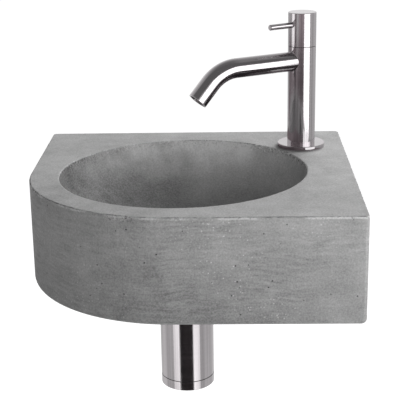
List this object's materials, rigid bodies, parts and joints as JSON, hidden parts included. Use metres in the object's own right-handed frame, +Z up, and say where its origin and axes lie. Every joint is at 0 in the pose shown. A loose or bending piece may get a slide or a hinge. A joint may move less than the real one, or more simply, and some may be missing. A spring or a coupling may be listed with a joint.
{
  "type": "hand basin with tap",
  "caption": "Small wall-hung concrete hand basin with one swept corner, an oval bowl, a brushed steel pillar tap with a lever, and a bottle trap below.",
  "frame": {"origin": "midway between the two wall bolt holes, on the basin's back face", "axes": "+X to the right seen from the front, +Y into the wall, +Z up"},
  "size_m": [0.31, 0.335, 0.3608],
  "materials": {
    "concrete": "cast grey concrete, sealed matt, with fine pores",
    "steel": "fine brushed stainless steel",
    "brass": "machined brass",
    "seal_rubber": "black sealing rubber",
    "disc_ceramic": "lapped white ceramic",
    "plastic": "pale moulded plastic"
  },
  "bodies": {
    "basin_and_tap": {"basin": "concrete", "tap_column": "steel", "base_flange": "steel", "base_seal": "seal_rubber", "tap_shank": "brass", "rubber_washer": "seal_rubber", "clamp_washer": "steel", "tap_backnut": "brass", "tap_spout": "steel", "aerator_sleeve": "steel", "aerator_insert": "plastic", "headwork_shell": "brass", "headwork_seal": "seal_rubber", "fixed_disc": "disc_ceramic", "spindle_o_ring": "seal_rubber", "slip_ring": "plastic", "waste_gasket": "seal_rubber", "waste_body": "steel", "under_gasket": "seal_rubber", "waste_nut": "brass", "trap_body": "steel", "inlet_washer": "seal_rubber", "dip_tube": "plastic", "outlet_nut": "steel", "outlet_seal": "seal_rubber", "outlet_pipe": "steel"},
    "handle": {"lever_head": "steel", "lever_pin": "steel", "grub_screw": "steel", "headwork_spindle": "brass", "turning_disc": "disc_ceramic"},
    "cover": {"waste_cover": "steel"},
    "cup": {"trap_cup": "steel", "cup_seal": "seal_rubber"},
    "rosette": {"wall_rosette": "steel"}
  },
  "joints": [
    {"name": "handle_turn", "type": "hinge", "parent": "basin_and_tap", "child": "handle", "pos_m": [0.111, -0.0618, 0.18], "axis": [0, 0, 1], "range_deg": [0, 90]},
    {"name": "cover_lift", "type": "slide", "parent": "basin_and_tap", "child": "cover", "axis": [0, 0, 1], "range_m": [0, 0.04]},
    {"name": "cup_unscrew", "type": "slide", "parent": "basin_and_tap", "child": "cup", "axis": [0, 0, -1], "range_m": [0, 0.04]},
    {"name": "rosette_slide", "type": "slide", "parent": "basin_and_tap", "child": "rosette", "axis": [0, -1, 0], "range_m": [0, 0.08]}
  ]
}
